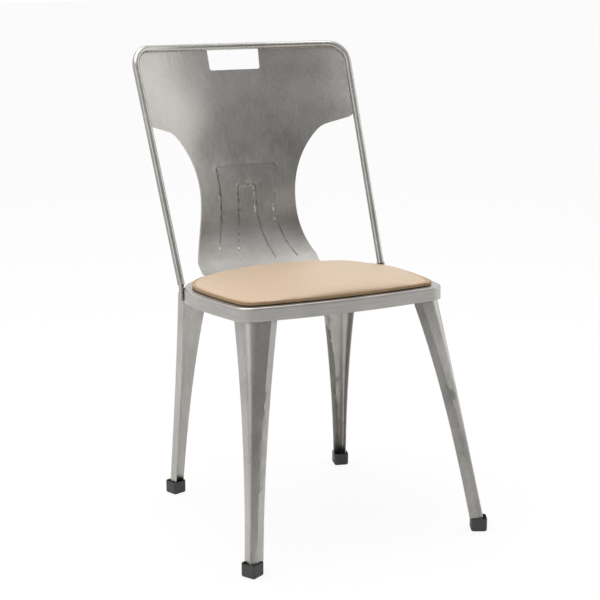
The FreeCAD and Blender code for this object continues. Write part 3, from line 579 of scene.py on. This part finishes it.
@dataclass
class SmallParts:
    """Rubber feet, the pad's board and its screws, washers and nuts."""

    frame: dict
    foot_angle: float = math.radians(40)
    foot_places: tuple[str, ...] = ("front_left", "front_right", "rear_left", "rear_right")

    def build(self) -> list[bpy.types.Object]:
        """Dresses the small pieces where they are.

        Returns:
            The dressed pieces.
        """
        nodes = self.frame["nodes"]
        rubber = plain_material(RUBBER)
        pieces = [
            smooth_stand_in(nodes["foot_" + place], self.foot_angle, rubber)
            for place in self.foot_places
        ]
        zinc = plain_material(ZINC)
        plywood = plain_material(PLYWOOD)
        for name, finish in (("pad_screws", zinc), ("pad_washers", zinc), ("tee_nuts", zinc), ("pad_board", plywood)):
            dress(nodes[name], finish)
            pieces.append(nodes[name])
        return pieces


@dataclass(frozen=True)
class Softbox:
    """Soft rectangular lamp that points at the chair."""

    name: str
    place: tuple[float, float, float]
    size: tuple[float, float]
    power: float


@dataclass
class Studio:
    """Pale floor, soft light and the camera."""

    aim: Vector = field(default_factory=lambda: Vector((-0.024, -0.0516, 0.408)))
    camera_place: Vector = field(default_factory=lambda: Vector((-1.24675, -2.3905, 1.0144)))
    lens: float = 90.36
    sensor: float = 36.0
    floor_size: float = 60.0
    floor_colour: Colour = (0.86, 0.86, 0.86, 1)
    floor_roughness: float = 0.9
    shadow_share: float = 0.12
    rise_weight: float = 0.9
    ramp_reach: float = 0.8
    front_light: float = 0.22
    rear_light: float = 0.95
    softboxes: tuple[Softbox, ...] = (
        Softbox("overhead", (-0.4, 0.3, 2.6), (2.4, 2.0), 38.0),
        Softbox("right_side", (2.3, -0.5, 1.2), (1.6, 2.2), 11.0),
        Softbox("left_side", (-2.2, -0.9, 1.4), (1.2, 1.6), 6.0),
    )

    def floor(self) -> None:
        """Adds a floor that shows white to the camera and keeps a share of the soft shadow."""
        bpy.ops.object.select_all(action="DESELECT")
        bpy.ops.mesh.primitive_plane_add(size=self.floor_size, location=(0, 0, 0))
        floor = bpy.context.object
        floor.name = "floor"
        material, shader = new_material("pale_floor")
        set_inputs(shader, {"Base Color": self.floor_colour, "Roughness": self.floor_roughness})
        tree = material.node_tree
        white = add_node(tree, "ShaderNodeEmission")
        set_inputs(white, {"Strength": 1.0})
        path = add_node(tree, "ShaderNodeLightPath")
        share = add_node(tree, "ShaderNodeMath", operation="MULTIPLY")
        share.inputs[1].default_value = 1.0 - self.shadow_share
        mix = add_node(tree, "ShaderNodeMixShader")
        tree.links.new(path.outputs["Is Camera Ray"], share.inputs[0])
        tree.links.new(share.outputs["Value"], mix.inputs["Fac"])
        tree.links.new(shader.outputs["BSDF"], mix.inputs[1])
        tree.links.new(white.outputs["Emission"], mix.inputs[2])
        tree.links.new(mix.outputs["Shader"], tree.nodes["Material Output"].inputs["Surface"])
        dress(floor, material)

    def hang(self, box: Softbox) -> None:
        """Hangs one softbox.

        Args:
            box: Name, place, size and power of the lamp.
        """
        lamp = bpy.data.lights.new(box.name, "AREA")
        lamp.shape = "RECTANGLE"
        lamp.size, lamp.size_y = box.size
        lamp.energy = box.power
        holder = bpy.data.objects.new(box.name, lamp)
        holder.location = box.place
        holder.rotation_euler = (self.aim - Vector(box.place)).to_track_quat("-Z", "Y").to_euler()
        bpy.context.scene.collection.objects.link(holder)

    def world(self) -> None:
        """Lights the room, white to the camera, and dimmer low in front than high behind."""
        world = bpy.data.worlds.new("studio")
        bpy.context.scene.world = world
        world.use_nodes = True
        tree = world.node_tree
        room = tree.nodes["Background"]
        place = add_node(tree, "ShaderNodeTexCoord")
        split = add_node(tree, "ShaderNodeSeparateXYZ")
        slant = add_node(tree, "ShaderNodeMath", operation="MULTIPLY_ADD")
        slant.inputs[1].default_value = self.rise_weight
        ramp = add_node(tree, "ShaderNodeMapRange")
        set_inputs(ramp, {"From Min": -self.ramp_reach, "From Max": self.ramp_reach})
        set_inputs(ramp, {"To Min": self.front_light, "To Max": self.rear_light})
        sky = add_node(tree, "ShaderNodeBackground")
        path = add_node(tree, "ShaderNodeLightPath")
        mix = add_node(tree, "ShaderNodeMixShader")
        links = tree.links
        links.new(place.outputs["Generated"], split.inputs["Vector"])
        links.new(split.outputs["Z"], slant.inputs[0])
        links.new(split.outputs["Y"], slant.inputs[2])
        links.new(slant.outputs["Value"], ramp.inputs["Value"])
        links.new(ramp.outputs["Result"], room.inputs["Strength"])
        links.new(path.outputs["Is Camera Ray"], mix.inputs["Fac"])
        links.new(room.outputs["Background"], mix.inputs[1])
        links.new(sky.outputs["Background"], mix.inputs[2])
        links.new(mix.outputs["Shader"], tree.nodes["World Output"].inputs["Surface"])
        for background in (room, sky):
            set_inputs(background, {"Color": (1, 1, 1, 1)})

    def camera(self) -> None:
        """Sets the camera at the photograph's viewing angle."""
        data = bpy.data.cameras.new("camera")
        data.lens = self.lens
        data.sensor_width = self.sensor
        camera = bpy.data.objects.new("camera", data)
        camera.location = self.camera_place
        camera.rotation_euler = (self.aim - self.camera_place).to_track_quat("-Z", "Y").to_euler()
        bpy.context.scene.collection.objects.link(camera)
        bpy.context.scene.camera = camera

    def build(self) -> None:
        """Builds the floor, the lights, the room and the camera."""
        self.floor()
        self.world()
        for box in self.softboxes:
            self.hang(box)
        self.camera()
        bpy.context.scene.view_settings.view_transform = "Standard"


def main() -> None:
    """Builds the chair and the studio in order."""
    logging.basicConfig(level=logging.INFO, format="%(name)s: %(message)s")
    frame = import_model()
    pieces = SteelFrame(frame).build()
    pieces.append(SeatPad(frame).build())
    pieces += SmallParts(frame).build()
    for piece in pieces:
        log.info("%s has %d faces", piece.name, len(piece.data.polygons))
    Studio().build()


if __name__ == "__main__":
    main()
